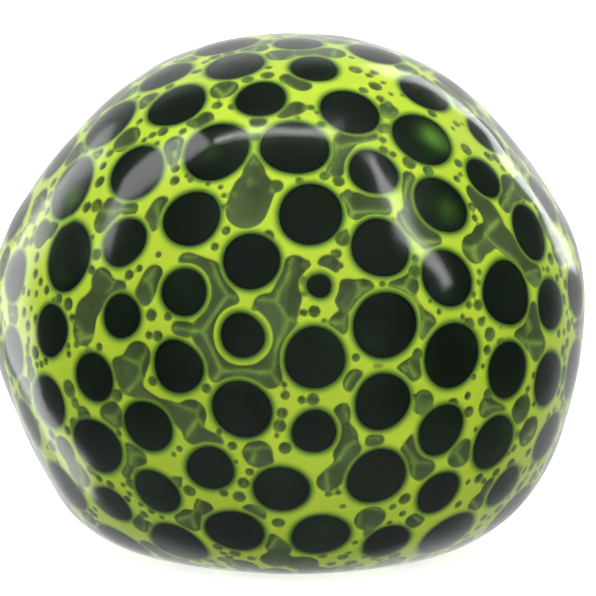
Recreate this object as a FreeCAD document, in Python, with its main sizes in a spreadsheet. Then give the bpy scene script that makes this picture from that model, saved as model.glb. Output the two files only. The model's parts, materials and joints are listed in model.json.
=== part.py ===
"""Stress ball: a clear squeezable skin filled with soft gel beads in a yellow-green liquid.

Millimetres, +Z up. The origin is the middle of the flat patch the ball stands on, the front
of the ball looks along -Y and the filling port is at the back, on +Y.

The ball is a round skin that has settled under its own weight: a dome (part of a sphere) that
runs down to a rounded corner and a flat foot. Every layer inside, from the skin's inner face to
the room the beads have, is that same outline set in by a stated distance.
"""
import FreeCAD, Part
import Sketcher
import math
import os
import random

V = FreeCAD.Vector

doc = FreeCAD.newDocument("stress_ball")
sheet = doc.addObject("Spreadsheet::Sheet", "Dims")

SIZES = [
    ("ball_width", 70.0, "across the waist"),
    ("settle", 7.4, "how far the filled ball has sunk below a true sphere"),
    ("foot_width", 30.0, "flat patch it stands on"),
    ("skin_wall", 2.0, "moulded skin"),
    ("film", 0.15, "liquid film between the skin and a bead pressed on it"),
    ("bead_size", 8.0, "an ordinary bead, across"),
    ("facet_size", 6.7, "flat that an ordinary bead shows through the skin"),
    ("bead_gap", 0.35, "least gap between two beads"),
    ("bead_wet", 0.12, "liquid stays this far off a bead"),
    ("port_bore", 3.2, "filling hole through the skin"),
    ("neck_width", 8.4, "thickened skin around the filling hole"),
    ("neck_length", 3.0, "how far the neck stands in from the wall"),
    ("plug_head", 7.0, "head of the plug, flush with the skin"),
    ("plug_head_thick", 0.9, "head of the plug"),
    ("plug_clear", 0.1, "plug to skin, all round"),
    ("seal_thick", 0.3, "cured adhesive ring under the head"),
    ("barb_width", 4.8, "snap barb at the plug's inner end"),
    ("barb_thick", 1.2, "snap barb, along the plug"),
]
for row, (alias, value, note) in enumerate(SIZES, start=1):
    sheet.set("A%d" % row, alias)
    sheet.set("B%d" % row, str(value))
    sheet.setAlias("B%d" % row, alias)
    sheet.set("C%d" % row, note)
doc.recompute()


def dim(alias):
    """Value of a named size."""
    return float(getattr(sheet, alias))


# lengths that follow from the named ones
DOME = dim("ball_width") / 2
CENTRE = DOME - dim("settle")
FOOT = dim("foot_width") / 2
CORNER = DOME - dim("settle") / 2 - FOOT ** 2 / (2 * dim("settle"))
AXIS = "Dims.ball_width / 2 - Dims.settle"


# ---------------------------------------------------------------- sketches and turned features

def origin_plane(body, role):
    """The body's own origin plane with this role."""
    for feature in body.Origin.OriginFeatures:
        if feature.Role == role:
            return feature
    raise ValueError(role)


def new_body(label):
    """An empty PartDesign body whose label is the sub-part's name."""
    body = doc.addObject("PartDesign::Body", label)
    body.Label = label
    return body


def bind(sketch, constraint, expression):
    """Add a dimension to a sketch and tie it to the sheet."""
    index = sketch.addConstraint(constraint)
    sketch.setExpression("Constraints[%d]" % index, expression)


def outline(body, name, inset_text, inset):
    """Half section of the settled ball on the XZ plane, set in by a distance all round."""
    sketch = body.newObject("Sketcher::SketchObject", name)
    sketch.AttachmentSupport = [(origin_plane(body, "XZ_Plane"), "")]
    sketch.MapMode = "FlatFace"
    top = V(0, 2 * DOME - dim("settle") - inset, 0)
    low = V(0, inset, 0)
    middle = V(0, CENTRE, 0)
    knee = V(FOOT, CORNER, 0)
    out = (knee - middle).normalize()
    turn = math.atan2(out.y, out.x)
    dome_arc = Part.ArcOfCircle(Part.Circle(middle, V(0, 0, 1), DOME - inset), turn, math.pi / 2)
    bend_arc = Part.ArcOfCircle(Part.Circle(knee, V(0, 0, 1), CORNER - inset), 1.5 * math.pi, turn + 2 * math.pi)
    axis_line = sketch.addGeometry(Part.LineSegment(low, top), False)
    dome = sketch.addGeometry(dome_arc, False)
    bend = sketch.addGeometry(bend_arc, False)
    foot = sketch.addGeometry(Part.LineSegment(low, V(FOOT, inset, 0)), False)
    sketch.addConstraint(Sketcher.Constraint("Coincident", axis_line, 2, dome, 2))
    sketch.addConstraint(Sketcher.Constraint("Coincident", axis_line, 1, foot, 1))
    sketch.addConstraint(Sketcher.Constraint("Tangent", dome, 1, bend, 2))
    sketch.addConstraint(Sketcher.Constraint("Tangent", bend, 1, foot, 2))
    sketch.addConstraint(Sketcher.Constraint("Vertical", axis_line))
    sketch.addConstraint(Sketcher.Constraint("Horizontal", foot))
    sketch.addConstraint(Sketcher.Constraint("PointOnObject", axis_line, 1, -2))
    sketch.addConstraint(Sketcher.Constraint("PointOnObject", dome, 3, -2))
    bind(sketch, Sketcher.Constraint("DistanceY", -1, 1, axis_line, 1, low.y), inset_text)
    bind(sketch, Sketcher.Constraint("DistanceY", axis_line, 1, axis_line, 2, top.y - low.y),
         "Dims.ball_width - Dims.settle - 2 * (%s)" % inset_text)
    bind(sketch, Sketcher.Constraint("Radius", dome, DOME - inset), "Dims.ball_width / 2 - (%s)" % inset_text)
    bind(sketch, Sketcher.Constraint("DistanceX", foot, 1, foot, 2, FOOT), "Dims.foot_width / 2")
    return sketch


def turn_outline(body, name, kind, inset_text, inset):
    """Revolve the ball's outline about Z, as a solid or as a cut."""
    sketch = outline(body, name + "_outline", inset_text, inset)
    feature = body.newObject(kind, name)
    feature.Profile = sketch
    feature.ReferenceAxis = (sketch, ["V_Axis"])
    feature.Angle = 360
    doc.recompute()
    return feature


def turn_about_port(body, name, kind, near, far, radius):
    """Turn a plain disc about the port's axis, between two depths below the skin's back pole.

    near, far and radius are expressions; the depths are counted from the pole towards the middle.
    """
    sketch = body.newObject("Sketcher::SketchObject", name + "_profile")
    sketch.AttachmentSupport = [(origin_plane(body, "YZ_Plane"), "")]
    sketch.MapMode = "FlatFace"
    pole = DOME
    corners = [V(pole - 3, CENTRE, 0), V(pole - 1, CENTRE, 0), V(pole - 1, CENTRE + 2, 0), V(pole - 3, CENTRE + 2, 0)]
    lines = []
    for start, end in zip(corners, corners[1:] + corners[:1]):
        lines.append(sketch.addGeometry(Part.LineSegment(start, end), False))
    for first, second in zip(lines, lines[1:] + lines[:1]):
        sketch.addConstraint(Sketcher.Constraint("Coincident", first, 2, second, 1))
    sketch.addConstraint(Sketcher.Constraint("Horizontal", lines[0]))
    sketch.addConstraint(Sketcher.Constraint("Vertical", lines[1]))
    sketch.addConstraint(Sketcher.Constraint("Horizontal", lines[2]))
    sketch.addConstraint(Sketcher.Constraint("Vertical", lines[3]))
    spine = sketch.addGeometry(Part.LineSegment(corners[0], corners[1]), True)
    sketch.addConstraint(Sketcher.Constraint("Coincident", spine, 1, lines[0], 1))
    sketch.addConstraint(Sketcher.Constraint("Coincident", spine, 2, lines[0], 2))
    bind(sketch, Sketcher.Constraint("DistanceY", -1, 1, lines[0], 1, CENTRE), AXIS)
    bind(sketch, Sketcher.Constraint("DistanceX", -1, 1, lines[0], 1, pole - 3), "Dims.ball_width / 2 - (%s)" % far)
    bind(sketch, Sketcher.Constraint("DistanceX", -1, 1, lines[0], 2, pole - 1), "Dims.ball_width / 2 - (%s)" % near)
    bind(sketch, Sketcher.Constraint("DistanceY", lines[1], 1, lines[1], 2, 2), radius)
    feature = body.newObject(kind, name)
    feature.Profile = sketch
    feature.ReferenceAxis = (sketch, ["Axis0"])
    feature.Angle = 360
    doc.recompute()
    return feature


SOLID = "PartDesign::Revolution"
HOLLOW = "PartDesign::Groove"
SEAT = "Dims.plug_head_thick + Dims.seal_thick"
NECK_END = "Dims.skin_wall + Dims.neck_length"

# ---------------------------------------------------------------- skin, plug and seal

skin = new_body("skin")
turn_outline(skin, "skin_outside", SOLID, "0", 0.0)
turn_outline(skin, "skin_inside", HOLLOW, "Dims.skin_wall", dim("skin_wall"))
turn_about_port(skin, "neck", SOLID, "Dims.skin_wall / 2", NECK_END, "Dims.neck_width / 2")
turn_about_port(skin, "neck_bore", HOLLOW, "-1", NECK_END + " + 1", "Dims.port_bore / 2")
turn_about_port(skin, "plug_seat", HOLLOW, "-1", SEAT, "Dims.plug_head / 2 + Dims.plug_clear")

plug = new_body("fill_plug")
turn_about_port(plug, "plug_head", SOLID, "0", "Dims.plug_head_thick", "Dims.plug_head / 2")
turn_about_port(plug, "plug_shank", SOLID, "Dims.plug_head_thick / 2",
                NECK_END + " + Dims.plug_clear + Dims.barb_thick / 2", "Dims.port_bore / 2 - Dims.plug_clear")
turn_about_port(plug, "plug_barb", SOLID, NECK_END + " + Dims.plug_clear",
                NECK_END + " + Dims.plug_clear + Dims.barb_thick", "Dims.barb_width / 2")

seal = new_body("plug_seal")
turn_about_port(seal, "seal_ring", SOLID, "Dims.plug_head_thick", SEAT, "Dims.plug_head / 2")
turn_about_port(seal, "seal_hole", HOLLOW, "Dims.plug_head_thick - 1", SEAT + " + 1", "Dims.port_bore / 2")

# ---------------------------------------------------------------- where the beads lie

# Beads pressed on the skin over the front half: azimuth from the front (to the right is plus),
# elevation above the dome's middle, and the flat's width against an ordinary one.
FRONT_BEADS = [
    (35, 84, 0.85), (77, 75, 0.95), (-43, 73, 1.05), (-80, 62, 0.95), (17, 73, 0.85), (-73, 47, 1.1),
    (-47, 58, 1.08), (-13, 64, 0.9), (23, 60, 1.07), (65, 59, 0.93), (45, 48, 1.15), (70, 44, 0.85),
    (85, 54, 0.9), (58, 37, 0.8), (-22, 46, 1.2), (3, 48, 1.17), (23, 41, 0.9), (-44, 39, 1.07),
    (-64, 32, 1.12), (79, 27, 0.85), (41, 31, 1.05), (64, 23, 1.0), (3, 30, 1.15), (-9, 20, 1.02),
    (-24, 27, 1.03), (4, 13, 0.47), (-9, 5, 0.79), (19, 23, 1.05), (18, 6, 1.17), (4, -2, 1.08),
    (-23, 12, 0.87), (-37, 21, 0.86), (-38, 5, 0.85), (-56, 13, 1.2), (-57, -1, 0.95), (-61, -14, 1.0),
    (-24, -3, 0.96), (-41, -9, 0.9), (-47, -25, 1.15), (-29, -17, 0.96), (-32, -35, 0.98),
    (-68, -31, 1.0), (-49, -42, 0.9), (-11, -10, 1.05), (3, -18, 0.87), (19, -11, 1.07), (-14, -25, 0.92),
    (2, -33, 1.05), (21, -29, 1.07), (-14, -44, 1.0), (12, -45, 1.1), (37, -16, 0.98), (42, -30, 1.05),
    (67, -26, 1.0), (57, -40, 0.9), (33, -44, 0.9), (35, 15, 1.05), (51, 11, 1.15), (35, -1, 1.12),
    (52, -7, 1.0), (67, -11, 1.0), (66, 6, 0.93), (85, 4, 0.9), (-90, 22, 0.9), (-91, 38, 0.9),
    (-80, 6, 0.9), (-79, -10, 0.9),
]
# The directions above suit beads of this share of the ball's width; they spread or close up with it.
READ_SHARE = 0.1143

BEAD = dim("bead_size") / 2
FACET = dim("facet_size") / 2
GAP = dim("bead_gap")
ROOM = dim("skin_wall") + dim("film")
PITCH = dim("bead_size") + GAP
MIDDLE = (0.0, 0.0, CENTRE)
GOLDEN = math.pi * (3 - math.sqrt(5))
dice = random.Random(11)


def length(a):
    """Length of a 3-vector."""
    return math.sqrt(a[0] * a[0] + a[1] * a[1] + a[2] * a[2])


def step_from(a, b, reach):
    """The point a plus reach times b."""
    return (a[0] + reach * b[0], a[1] + reach * b[1], a[2] + reach * b[2])


def direction(azimuth, elevation):
    """Unit vector from the dome's middle; azimuth 0 is the front."""
    a = math.radians(azimuth)
    e = math.radians(elevation)
    return (math.cos(e) * math.sin(a), -math.cos(e) * math.cos(a), math.sin(e))


def wall_at(way, inset):
    """Where a ray from the dome's middle meets the outline set in by inset, and the outward normal."""
    flat = math.hypot(way[0], way[1])
    side = (way[0] / flat, way[1] / flat) if flat > 1e-9 else (0.0, -1.0)
    rise = CORNER - CENTRE
    if way[2] * FOOT >= flat * rise:
        return step_from(MIDDLE, way, DOME - inset), way
    run = (CENTRE - inset) / -way[2]
    if run * flat <= FOOT:
        return step_from(MIDDLE, way, run), (0.0, 0.0, -1.0)
    along = flat * FOOT + way[2] * rise
    square = FOOT ** 2 + rise ** 2 - (CORNER - inset) ** 2
    reach = along + math.sqrt(along ** 2 - square)
    out = (reach * flat - FOOT, reach * way[2] - rise)
    size = math.hypot(out[0], out[1])
    normal = (side[0] * out[0] / size, side[1] * out[0] / size, out[1] / size)
    return step_from(MIDDLE, way, reach), normal


def bead_on_wall(way, flat_share, fixed):
    """A bead pressed on the skin: centre, radius, way, depth, how freely it may be nudged."""
    radius = BEAD * (0.72 + 0.28 * flat_share)
    flat = min(FACET * flat_share, 0.96 * radius)
    depth = math.sqrt(radius ** 2 - flat ** 2)
    bead = {"radius": radius, "depth": depth, "ease": 0.35 if fixed else 1.0, "shell": 0}
    place_on_wall(bead, way)
    return bead


def place_on_wall(bead, way):
    """Set the bead's centre below the wall in this direction."""
    size = length(way)
    bead["way"] = (way[0] / size, way[1] / size, way[2] / size)
    point, normal = wall_at(bead["way"], ROOM)
    bead["centre"] = step_from(point, normal, -bead["depth"])


def gap_between(a, b):
    """Clear distance between two beads."""
    return math.dist(a["centre"], b["centre"]) - a["radius"] - b["radius"]


def spread(count, phase):
    """Evenly spread directions, each nudged a little, so the pack looks poured and not laid."""
    ways = []
    for k in range(count):
        z = 1 - (2 * k + 1) / count
        turn = GOLDEN * k + phase
        flat = math.sqrt(1 - z * z)
        way = (flat * math.cos(turn), flat * math.sin(turn), z)
        nudge = (dice.uniform(-1, 1), dice.uniform(-1, 1), dice.uniform(-1, 1))
        way = step_from(way, nudge, 0.22 / math.sqrt(count))
        size = length(way)
        ways.append((way[0] / size, way[1] / size, way[2] / size))
    return ways


def settle_beads(moving, still, rounds):
    """Push beads that crowd each other apart: those on the wall slide along it."""
    for _ in range(rounds):
        pushes = [[0.0, 0.0, 0.0] for _ in moving]
        for i, a in enumerate(moving):
            for j in range(i + 1, len(moving) + len(still)):
                b = moving[j] if j < len(moving) else still[j - len(moving)]
                ca = a["centre"]
                cb = b["centre"]
                if abs(ca[0] - cb[0]) > 1.4 * PITCH or abs(ca[2] - cb[2]) > 1.4 * PITCH:
                    continue
                apart = math.dist(ca, cb)
                short = a["radius"] + b["radius"] + GAP - apart
                if short <= 0 or apart < 1e-6:
                    continue
                for axis in range(3):
                    shift = 0.5 * short * (ca[axis] - cb[axis]) / apart
                    pushes[i][axis] += shift * a["ease"]
                    if j < len(moving):
                        pushes[j][axis] -= shift * b["ease"]
        for bead, push in zip(moving, pushes):
            moved = step_from(bead["centre"], push, 1.0)
            if bead["shell"] == 0:
                place_on_wall(bead, step_from(moved, MIDDLE, -1.0))
            else:
                bead["centre"] = moved


def lay_beads():
    """All beads: those on the skin first, then shell by shell towards the middle."""
    neck_depth = DOME - dim("skin_wall") - dim("neck_length") / 2
    neck = {"centre": (0.0, neck_depth, CENTRE), "radius": dim("neck_width") / 2 + dim("barb_thick"), "ease": 0.0}
    turn = (dim("bead_size") / dim("ball_width")) / READ_SHARE
    outer = []
    for azimuth, elevation, share in FRONT_BEADS:
        if abs(azimuth * turn) < 100 and elevation * turn < 90:
            outer.append(bead_on_wall(direction(azimuth * turn, elevation * turn), share, True))
    ring = DOME - ROOM - math.sqrt(BEAD ** 2 - min(FACET, 0.96 * BEAD) ** 2)
    count = int(1.3 * 4 * math.pi / (0.866 * (PITCH / ring) ** 2))
    for way in spread(count, 0.4):
        bead = bead_on_wall(way, dice.uniform(0.78, 1.15), False)
        if min(gap_between(bead, other) for other in outer + [neck]) > -0.17 * PITCH:
            outer.append(bead)
    settle_beads(outer, [neck], 120)
    inner = []
    shell = 1
    while ring - 0.84 * PITCH * shell > 0:
        share = 1 - (DOME - ring + 0.84 * PITCH * shell) / DOME
        count = max(1, int(4 * math.pi / (0.866 * (PITCH / (ring - 0.84 * PITCH * shell)) ** 2)))
        for way in spread(count, 1.1 * shell):
            point = wall_at(way, ROOM)[0]
            centre = step_from(MIDDLE, step_from(point, MIDDLE, -1.0), share)
            bead = {"centre": centre, "radius": BEAD * dice.uniform(0.93, 1.0), "ease": 1.0, "shell": shell}
            if min(gap_between(bead, other) for other in outer + inner + [neck]) > -0.3 * PITCH:
                inner.append(bead)
        shell += 1
    settle_beads(inner, outer + [neck], 90)
    return outer + inner, neck


def make_room(beads, neck):
    """Beads that still crowd are a little smaller, as they come in the real mix."""
    for _ in range(60):
        worst = 0.0
        for i, a in enumerate(beads):
            for b in beads[i + 1:] + [neck]:
                if abs(a["centre"][0] - b["centre"][0]) > 1.4 * PITCH:
                    continue
                short = GAP - gap_between(a, b)
                worst = max(worst, short)
                if short > 0 and b is neck:
                    a["radius"] -= short + 0.01
                elif short > 0:
                    inner_bias = 0.7 if a["shell"] > b["shell"] else 0.3 if a["shell"] < b["shell"] else 0.5
                    a["radius"] -= inner_bias * short + 0.005
                    b["radius"] -= (1 - inner_bias) * short + 0.005
        if worst <= 0:
            break


beads, neck_keepout = lay_beads()
make_room(beads, neck_keepout)
beads = [bead for bead in beads if bead["radius"] > 0.45 * BEAD]

# ---------------------------------------------------------------- beads, grouped by layer and side

LAYERS = ["foot", "low", "lower", "middle", "upper", "high", "crown"]
LOWEST = min(bead["centre"][2] for bead in beads)
HIGHEST = max(bead["centre"][2] for bead in beads)


def node_of(bead):
    """Node name for a bead: its layer, and the side of the ball it shows on, or the core.

    The core ends a layer short of the foot and the crown, where it is too thin to have a layer.
    """
    share = (bead["centre"][2] - LOWEST) / (HIGHEST - LOWEST)
    level = min(len(LAYERS) - 1, int(share * len(LAYERS)))
    if bead["shell"] > 0:
        return LAYERS[min(max(level, 1), len(LAYERS) - 2)] + "_beads_core"
    layer = LAYERS[level]
    x, y = bead["centre"][0], bead["centre"][1]
    if abs(y) >= abs(x):
        return layer + ("_beads_front" if y < 0 else "_beads_back")
    return layer + ("_beads_right" if x > 0 else "_beads_left")


def ball_at(name, bead, extra):
    """A Part sphere whose radius follows the bead size in the sheet; its seam faces the middle."""
    ball = doc.addObject("Part::Sphere", name)
    ball.setExpression("Radius", "Dims.bead_size / 2 * %.4f%s" % (bead["radius"] / BEAD, extra))
    inward = V(*MIDDLE) - V(*bead["centre"])
    ball.Placement = FreeCAD.Placement(V(*bead["centre"]), FreeCAD.Rotation(V(1, 0, 0), inward))
    return ball


bead_room = new_body("bead_room")
turn_outline(bead_room, "room_outline", SOLID, "Dims.skin_wall + Dims.film", ROOM)

groups = {}
hollows = []
for index, bead in enumerate(beads):
    groups.setdefault(node_of(bead), []).append(ball_at("bead_%03d" % index, bead, ""))
    hollows.append(ball_at("hollow_%03d" % index, bead, " + Dims.bead_wet"))

parts = [skin, plug, seal]
for name in sorted(groups):
    heap = doc.addObject("Part::Compound", name + "_heap")
    heap.Links = groups[name]
    pressed = doc.addObject("Part::Common", name)
    pressed.Base = heap
    pressed.Tool = bead_room
    pressed.Label = name
    parts.append(pressed)

# ---------------------------------------------------------------- liquid

liquid_body = new_body("liquid_body")
turn_outline(liquid_body, "liquid_outline", SOLID, "Dims.skin_wall", dim("skin_wall"))
turn_about_port(liquid_body, "neck_room", HOLLOW, "0",
                NECK_END + " + Dims.plug_clear + Dims.barb_thick + Dims.bead_wet",
                "Dims.neck_width / 2 + Dims.bead_wet")
all_hollows = doc.addObject("Part::Compound", "all_hollows")
all_hollows.Links = hollows
liquid = doc.addObject("Part::Cut", "liquid")
liquid.Base = liquid_body
liquid.Tool = all_hollows
liquid.Label = "liquid"
parts.append(liquid)

# ---------------------------------------------------------------- checks and export

doc.recompute()
for thing in doc.Objects:
    if "Invalid" in thing.State or "Error" in thing.State:
        raise RuntimeError("%s did not compute" % thing.Label)
for part in parts:
    if part.Shape.isNull() or not part.Shape.isValid() or not part.Shape.Solids:
        raise RuntimeError("%s has no valid solid" % part.Label)

os.makedirs("parts", exist_ok=True)
for part in parts:
    part.Shape.exportStep("parts/%s.step" % part.Label)
    print("%-22s solids %3d  volume %9.1f" % (part.Label, len(part.Shape.Solids), part.Shape.Volume))
print("beads", len(beads), "on the skin", sum(1 for bead in beads if bead["shell"] == 0))
for layer in LAYERS:
    heights = [bead["centre"][2] for bead in beads if node_of(bead).startswith(layer + "_beads")]
    print("layer %-7s beads %3d  mean height %6.2f" % (layer, len(heights), sum(heights) / len(heights)))
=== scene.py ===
"""Stress ball: clear rubber skin, dark gel beads, yellow-green liquid with trapped air."""
import json
import math
import random

import bmesh
import bpy
import numpy as np
from mathutils import Matrix, Vector


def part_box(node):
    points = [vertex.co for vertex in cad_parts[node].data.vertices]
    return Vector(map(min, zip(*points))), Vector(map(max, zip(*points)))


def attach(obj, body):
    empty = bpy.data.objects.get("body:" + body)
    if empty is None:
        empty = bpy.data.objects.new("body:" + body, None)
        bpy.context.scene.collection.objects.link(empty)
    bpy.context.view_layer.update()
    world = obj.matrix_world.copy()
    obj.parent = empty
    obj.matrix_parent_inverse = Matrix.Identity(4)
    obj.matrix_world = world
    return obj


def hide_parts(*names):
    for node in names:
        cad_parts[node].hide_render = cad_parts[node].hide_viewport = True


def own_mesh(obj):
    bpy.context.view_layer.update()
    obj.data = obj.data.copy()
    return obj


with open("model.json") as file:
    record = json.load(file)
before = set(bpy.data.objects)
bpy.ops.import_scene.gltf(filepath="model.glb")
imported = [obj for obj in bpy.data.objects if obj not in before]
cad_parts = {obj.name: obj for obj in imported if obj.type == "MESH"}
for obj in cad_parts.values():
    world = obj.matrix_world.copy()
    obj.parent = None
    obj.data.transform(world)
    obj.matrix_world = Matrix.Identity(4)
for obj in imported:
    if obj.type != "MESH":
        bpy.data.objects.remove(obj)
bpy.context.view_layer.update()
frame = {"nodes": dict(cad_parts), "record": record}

MM = 0.001
BALL = 0.035                          # radius of the dome
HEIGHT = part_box("skin")[1].z
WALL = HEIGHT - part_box("liquid")[1].z  # skin thickness
FILM = 0.15 * MM                      # wet film between the skin and a bead
CENTRE = HEIGHT - BALL                # height of the dome's middle
FOOT = 0.015                          # half the flat patch it stands on
SETTLE = 2 * BALL - HEIGHT            # how far it has sunk under its own weight
CORNER = BALL - SETTLE / 2 - FOOT ** 2 / (2 * SETTLE)  # radius of the bend above the foot
BEND_RISE = CORNER - CENTRE           # the bend's middle above the dome's
MIDDLE = np.array([0.0, 0.0, CENTRE])


# ---- the ball's outline

def outline_depth(points, inset=0.0):
    """How deep points lie under the ball's outline set in by inset, and the outward normal.

    The depth is negative outside.
    """
    rel = points - MIDDLE
    flat = np.hypot(rel[:, 0], rel[:, 1])
    size = np.linalg.norm(rel, axis=1) + 1e-12
    depth = BALL - inset - size
    normal = rel / size[:, None]
    low = rel[:, 2] * FOOT < flat * BEND_RISE
    kx = flat - FOOT
    kz = points[:, 2] - CORNER
    side = rel[:, :2] / (flat[:, None] + 1e-12)
    ksize = np.hypot(kx, kz) + 1e-12
    bend = low & (kx > 0)
    depth = np.where(bend, CORNER - inset - ksize, depth)
    bend_normal = np.column_stack([side * (kx / ksize)[:, None], kz / ksize])
    normal = np.where(bend[:, None], bend_normal, normal)
    floor = low & (kx <= 0)
    depth = np.where(floor, points[:, 2] - inset, depth)
    normal = np.where(floor[:, None], np.array([0.0, 0.0, -1.0]), normal)
    return depth, normal


def on_outline(ways, inset):
    """Points of the outline set in by inset, along unit ways from the dome's middle, with normals."""
    flat = np.hypot(ways[:, 0], ways[:, 1])
    reach = np.full(len(ways), BALL - inset)
    low = ways[:, 2] * FOOT < flat * BEND_RISE
    run = np.where(low, (CENTRE - inset) / np.maximum(-ways[:, 2], 1e-9), 1.0)
    floor = low & (run * flat <= FOOT)
    reach = np.where(floor, run, reach)
    along = flat * FOOT + ways[:, 2] * BEND_RISE
    square = FOOT ** 2 + BEND_RISE ** 2 - (CORNER - inset) ** 2
    bend = low & ~floor
    reach = np.where(bend, along + np.sqrt(np.maximum(along ** 2 - square, 0)), reach)
    points = MIDDLE + ways * reach[:, None]
    return points, outline_depth(points, inset)[1]


def way_to(azimuth, elevation):
    """Unit vector from the dome's middle; azimuth 0 is the front, plus is to the right."""
    a = np.radians(azimuth)
    e = np.radians(elevation)
    return np.stack([np.cos(e) * np.sin(a), -np.cos(e) * np.cos(a), np.sin(e)], axis=-1)


# Lumps and dents of the outer face: azimuth, elevation, width in degrees, height in mm.
LUMPS = [
    (-88, 8, 16, 1.2), (-82, -24, 13, -0.7), (-96, 42, 17, -0.6), (86, 12, 12, 0.6),
    (88, 38, 13, -0.8), (80, -32, 12, 0.6), (10, 88, 15, -0.5), (62, 64, 13, 0.5),
    (-60, 70, 13, -0.5), (-38, -46, 13, -0.9), (42, -50, 11, -0.5), (0, -54, 9, 0.4),
    (30, 40, 9, -0.25), (-45, 30, 8, 0.3), (60, 45, 6, -0.35), (70, 25, 6, 0.3),
]


def unit(vectors):
    """Vectors scaled to length 1."""
    return vectors / np.linalg.norm(vectors, axis=-1)[..., None]


def unit_way(points):
    """Directions of points from the dome's middle."""
    return unit(points - MIDDLE)


def lumps(ways, seed, count=26, sharp=7.5, highest=2.2):
    """Smooth random swelling over the ball, about -1 to 1: the sum of count swellings, scaled down."""
    dice = np.random.default_rng(seed)
    total = np.zeros(len(ways))
    for _ in range(count):
        axis = dice.normal(size=3)
        axis /= np.linalg.norm(axis)
        total += dice.choice([-1.0, 1.0]) * np.exp(sharp * (ways @ axis - 1))
    return total / highest


# ---- where the CAD beads are

def islands(count, edges):
    """Label of the connected island that each vertex is in."""
    label = np.arange(count)
    while True:
        a = label[edges[:, 0]]
        b = label[edges[:, 1]]
        low = np.minimum(a, b)
        new = label.copy()
        np.minimum.at(new, a, low)
        np.minimum.at(new, b, low)
        new = new[new]
        if (new == label).all():
            return label
        label = new


def fit_sphere(points, rounds=8, share=0.8, close=8e-6):
    """Centre and radius of the sphere that most of the points lie on.

    Each round keeps the nearest share of the points, and all that are close, so a bead's flat drops out.
    """
    keep = np.ones(len(points), bool)
    for _ in range(rounds):
        p = points[keep]
        a = np.column_stack([2 * p, np.ones(len(p))])
        solved = np.linalg.lstsq(a, (p ** 2).sum(1), rcond=None)[0]
        centre = solved[:3]
        radius = math.sqrt(solved[3] + centre @ centre)
        off = np.abs(np.linalg.norm(points - centre, axis=1) - radius)
        keep = off < max(np.quantile(off[keep], share), close)
    return centre, radius


def read_beads(grid=1e6):
    """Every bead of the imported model: its node, centre and radius.

    Vertices that share a place on a grid of micrometres are one.
    """
    found = []
    for name, node in sorted(frame["nodes"].items()):
        if "_beads_" not in name:
            continue
        mesh = node.data
        co = np.zeros(len(mesh.vertices) * 3)
        mesh.vertices.foreach_get("co", co)
        co = co.reshape(-1, 3)
        edges = np.zeros(len(mesh.edges) * 2, int)
        mesh.edges.foreach_get("vertices", edges)
        same, inverse = np.unique(np.round(co * grid).astype(int), axis=0, return_inverse=True)
        inverse = inverse.reshape(-1)
        label = islands(len(same), inverse[edges.reshape(-1, 2)])
        for root in np.unique(label):
            centre, radius = fit_sphere(same[label == root] / grid)
            found.append((name, centre, radius))
    return found


TOUCH = 1e-5                          # a bead is on the skin if it presses in by this
beads = read_beads()
centres = np.array([b[1] for b in beads])
radii = np.array([b[2] for b in beads])
depths, normals = outline_depth(centres, WALL + FILM)
on_skin = depths < radii - TOUCH
print("beads", len(beads), "on the skin", int(on_skin.sum()))


# ---- small builders

def add_object(name, mesh, body):
    """Put a mesh in the scene as a piece that rides on a body."""
    piece = bpy.data.objects.new(name, mesh)
    bpy.context.scene.collection.objects.link(piece)
    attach(piece, body)
    return piece


def mesh_from(name, points, faces, smooth=True):
    """A mesh from arrays."""
    mesh = bpy.data.meshes.new(name)
    mesh.from_pydata([tuple(p) for p in points], [], [tuple(f) for f in faces])
    mesh.update()
    if smooth:
        mesh.shade_smooth()
    return mesh


def set_attribute(mesh, name, values):
    """Give each vertex a number that a material can read."""
    layer = mesh.attributes.new(name, "FLOAT", "POINT")
    layer.data.foreach_set("value", values.astype(np.float32))


def face_outward(mesh):
    """Turn all faces of a closed mesh outwards."""
    bm = bmesh.new()
    bm.from_mesh(mesh)
    bmesh.ops.recalc_face_normals(bm, faces=bm.faces)
    bm.to_mesh(mesh)
    bm.free()


def unit_ball(level):
    """Vertices and triangles of a unit icosphere."""
    bm = bmesh.new()
    bmesh.ops.create_icosphere(bm, subdivisions=level, radius=1.0)
    bm.verts.ensure_lookup_table()
    points = np.array([v.co[:] for v in bm.verts])
    faces = np.array([[v.index for v in f.verts] for f in bm.faces])
    bm.free()
    return unit(points), faces


def squash_with(piece):
    """Give a piece its own copy of its mesh.
    """
    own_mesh(piece)


# ---- materials

def material(name):
    """A new material, its node tree and its one shader."""
    mat = bpy.data.materials.new(name)
    mat.use_nodes = True
    tree = mat.node_tree
    tree.nodes.clear()
    out = tree.nodes.new("ShaderNodeOutputMaterial")
    shader = tree.nodes.new("ShaderNodeBsdfPrincipled")
    tree.links.new(shader.outputs[0], out.inputs["Surface"])
    return mat, tree, shader


def srgb(r, g, b):
    """Linear colour of an sRGB triple of 0 to 255."""
    def line(c):
        c /= 255
        return c / 12.92 if c <= 0.04045 else ((c + 0.055) / 1.055) ** 2.4
    return (line(r), line(g), line(b), 1.0)


def grey(value):
    """An opaque grey."""
    return (value, value, value, 1.0)


def ramp(tree, fac, stops):
    """A colour ramp driven by a socket."""
    node = tree.nodes.new("ShaderNodeValToRGB")
    elements = node.color_ramp.elements
    while len(elements) < len(stops):
        elements.new(0.5)
    for element, (position, colour) in zip(elements, stops):
        element.position = position
        element.color = colour
    tree.links.new(fac, node.inputs["Fac"])
    return node.outputs["Color"]


def attribute(tree, name):
    """A mesh attribute as a number."""
    node = tree.nodes.new("ShaderNodeAttribute")
    node.attribute_name = name
    return node.outputs["Fac"]


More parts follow.
